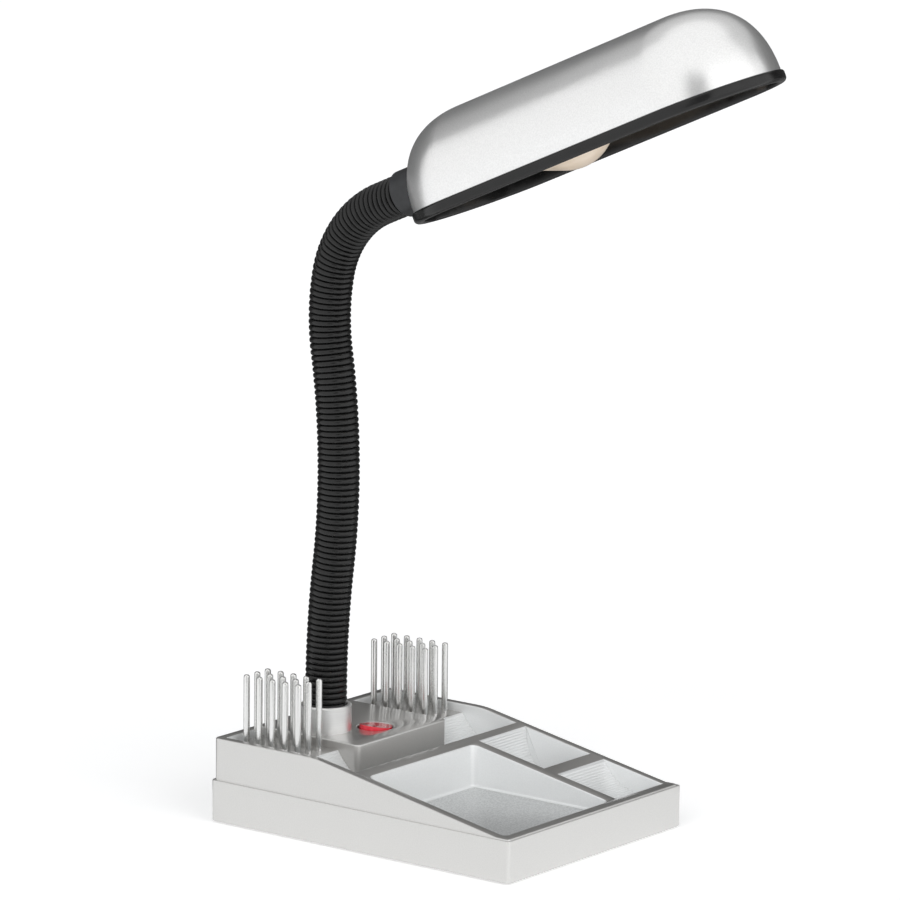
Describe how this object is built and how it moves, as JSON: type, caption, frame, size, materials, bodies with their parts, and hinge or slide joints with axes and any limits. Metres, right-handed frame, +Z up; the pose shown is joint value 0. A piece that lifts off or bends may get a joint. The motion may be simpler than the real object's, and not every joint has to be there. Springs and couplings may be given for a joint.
{
  "type": "desk lamp with organizer base",
  "caption": "Gooseneck desk lamp with a capsule shade on a two-part base of open trays, pen pins and a rocker switch.",
  "frame": {"origin": "Middle of the base's footprint, on the surface that the rubber feet stand on.", "axes": "+Z up; the shade reaches towards -Y, the lamp's front; the neck stands on the -X side and the small trays lie on the +X side."},
  "size_m": [0.148, 0.3078, 0.4414],
  "materials": {
    "housing_plastic": "silver-grey moulded plastic, satin with bright edges",
    "pan_plastic": "silver-grey moulded plastic, satin",
    "pin_steel": "bright plated steel",
    "collar_metal": "turned and brushed",
    "sleeve_plastic": "black corrugated plastic",
    "core_steel": "plain steel tube",
    "thread_steel": "zinc-plated steel",
    "ballast_steel": "black-oxide steel plate",
    "rubber": "black rubber",
    "black_plastic": "black moulded plastic",
    "rocker_plastic": "red glossy plastic",
    "brass": "plain brass",
    "wire_insulation": "black insulation",
    "shade_paint": "silver metallic paint",
    "rim_plastic": "black glossy plastic",
    "reflector_white": "white enamel",
    "holder_plastic": "dark heat-proof plastic",
    "cap_metal": "pressed cap",
    "bulb_glass": "soft white coated glass"
  },
  "bodies": {
    "base": {"base_pan": "pan_plastic", "top_housing": "housing_plastic", "ballast_plate": "ballast_steel", "ballast_screws": "thread_steel", "rubber_feet": "rubber", "base_screws": "thread_steel", "cord_inlet": "rubber", "left_pins": "pin_steel", "right_pins": "pin_steel", "switch_housing": "black_plastic", "switch_terminals": "brass", "supply_wire": "wire_insulation", "lamp_wire": "wire_insulation", "neck_collar": "collar_metal", "neck_sleeve": "sleeve_plastic", "base_tube": "thread_steel", "base_washer": "thread_steel", "base_nut": "thread_steel", "neck_core_1": "core_steel"},
    "rocker": {"switch_rocker": "rocker_plastic"},
    "neck_lower": {"neck_core_2": "core_steel"},
    "neck_low_middle": {"neck_core_3": "core_steel"},
    "neck_middle": {"neck_core_4": "core_steel"},
    "neck_high_middle": {"neck_core_5": "core_steel"},
    "neck_upper": {"neck_core_6": "core_steel"},
    "head": {"head_tube": "thread_steel", "head_ferrule": "black_plastic", "head_saddle": "black_plastic", "head_nut": "thread_steel", "shade_shell": "shade_paint", "shade_rim": "rim_plastic", "heat_reflector": "reflector_white", "lampholder_cap": "holder_plastic", "lampholder": "holder_plastic", "screw_shell": "brass", "lampholder_contact": "brass", "bulb_cap": "cap_metal", "bulb_contact": "brass", "bulb_glass": "bulb_glass"}
  },
  "joints": [
    {"name": "neck_side_bend", "type": "hinge", "parent": "base", "child": "neck_lower", "pos_m": [-0.02075, 0.0628, 0.077], "axis": [0, 1, 0], "range_deg": [-15, 15], "deforming": ["neck_sleeve"]},
    {"name": "neck_bend_1", "type": "hinge", "parent": "neck_lower", "child": "neck_low_middle", "pos_m": [-0.02075, 0.05941, 0.12707], "axis": [1, 0, 0], "range_deg": [-15, 15], "deforming": ["neck_sleeve"]},
    {"name": "neck_bend_2", "type": "hinge", "parent": "neck_low_middle", "child": "neck_middle", "pos_m": [-0.02075, 0.05553, 0.17989], "axis": [1, 0, 0], "range_deg": [-15, 15], "deforming": ["neck_sleeve"]},
    {"name": "neck_bend_3", "type": "hinge", "parent": "neck_middle", "child": "neck_high_middle", "pos_m": [-0.02075, 0.05894, 0.23474], "axis": [1, 0, 0], "range_deg": [-15, 15], "deforming": ["neck_sleeve"]},
    {"name": "neck_bend_4", "type": "hinge", "parent": "neck_high_middle", "child": "neck_upper", "pos_m": [-0.02075, 0.06016, 0.28444], "axis": [1, 0, 0], "range_deg": [-15, 15], "deforming": ["neck_sleeve"]},
    {"name": "neck_bend_head", "type": "hinge", "parent": "neck_upper", "child": "head", "pos_m": [-0.02075, 0.03221, 0.32378], "axis": [1, 0, 0], "range_deg": [-20, 20], "deforming": ["neck_sleeve"]},
    {"name": "switch_rock", "type": "hinge", "parent": "base", "child": "rocker", "pos_m": [0.00015, 0.0467, 0.042], "axis": [0, 1, 0], "range_deg": [-14, 0]}
  ]
}
